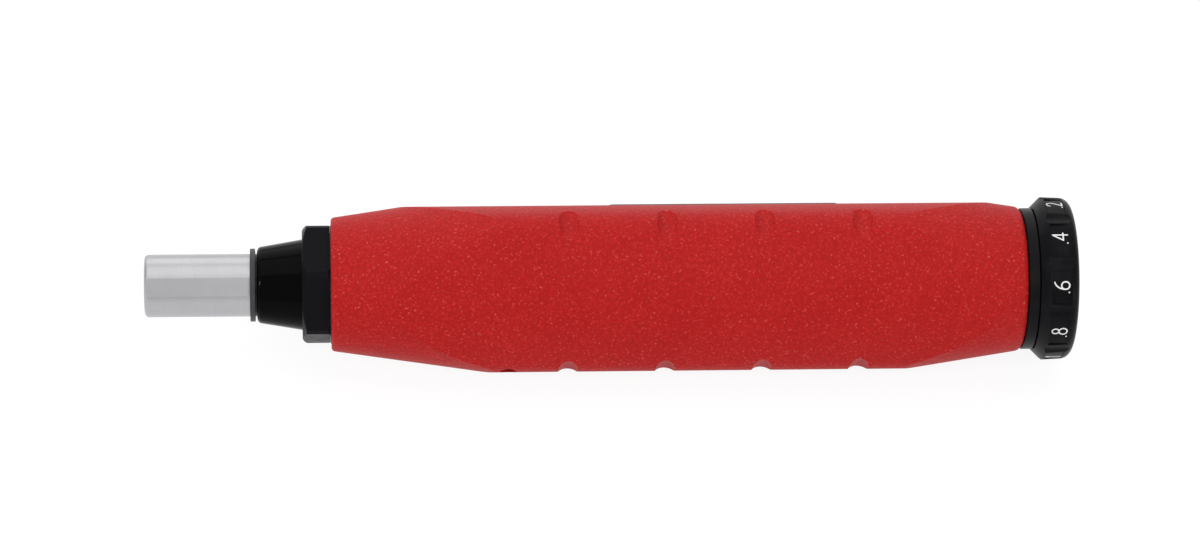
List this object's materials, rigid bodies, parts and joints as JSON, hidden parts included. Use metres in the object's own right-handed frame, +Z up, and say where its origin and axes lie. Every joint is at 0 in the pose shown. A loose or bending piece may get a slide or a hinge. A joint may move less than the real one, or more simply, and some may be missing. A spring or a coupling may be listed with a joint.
{
  "type": "torque screwdriver",
  "caption": "Adjustable slip-clutch torque screwdriver with a round bit shank, a lobed red grip with a scale window, and a black numbered setting knob at the rear.",
  "frame": {"origin": "on the tool's axis, at the mouth of the bit socket", "axes": "+X along the tool's axis from the bit end to the setting knob; +Z up, through one crest of the grip; the flat opposite that crest is down"},
  "size_m": [0.1882, 0.0336, 0.0349],
  "materials": {
    "grip_coat": "fine pebbled coat on cast aluminium",
    "tube_steel": "turned",
    "clear_lens": "clear",
    "scale_metal": "satin, printed",
    "black_steel": "black oxide",
    "nose_black": "gloss black",
    "bronze": "turned",
    "washer_steel": "ground",
    "shank_steel": "bright, fine ground",
    "ring_steel": "phosphate grey",
    "magnet": "nickel plated",
    "spring_steel": "oiled wire",
    "pointer_red": "painted index",
    "neck_black": "satin black",
    "seal_rubber": "matt",
    "knob_black": "satin black",
    "cap_black": "satin"
  },
  "bodies": {
    "handle": {"grip": "grip_coat", "housing_tube": "tube_steel", "window_lens": "clear_lens", "scale_plate": "scale_metal", "grip_set_screw": "black_steel", "nose_collar": "nose_black", "nose_bushing": "bronze", "front_thrust_washer": "washer_steel", "rear_thrust_washer": "washer_steel", "end_plug": "neck_black", "dial_friction_ring": "seal_rubber"},
    "drive": {"drive_shaft": "shank_steel", "snap_ring": "ring_steel", "bit_magnet": "magnet"},
    "clutch": {"clutch_plate": "washer_steel", "clutch_keys": "washer_steel", "spring_seat": "washer_steel", "torque_spring": "spring_steel"},
    "nut": {"load_nut": "bronze", "nut_pointer": "pointer_red"},
    "dial": {"adjusting_screw": "tube_steel", "dial_knob": "knob_black", "knob_washer": "washer_steel", "knob_screw": "black_steel", "knob_cap": "cap_black"}
  },
  "joints": [
    {"name": "dial_turn", "type": "hinge", "parent": "handle", "child": "dial", "pos_m": [0.184, 0, 0], "axis": [-1, 0, 0], "range_deg": [0, 7200]},
    {"name": "nut_slide", "type": "slide", "parent": "handle", "child": "nut", "axis": [-1, 0, 0], "range_m": [0, 0.04], "deforming": ["torque_spring"]},
    {"name": "drive_slip", "type": "hinge", "parent": "handle", "child": "drive", "pos_m": [0.03, 0, 0], "axis": [1, 0, 0], "range_deg": [0, 105]},
    {"name": "clutch_lift", "type": "slide", "parent": "handle", "child": "clutch", "axis": [1, 0, 0], "range_m": [0, 0.00143], "deforming": ["torque_spring"]}
  ],
  "couplings": [
    {"joint": "nut_slide", "follows": "dial_turn", "m_per_rad": 0.00031831},
    {"joint": "drive_slip", "follows": "clutch_lift", "rad_per_m": 1279.9}
  ]
}
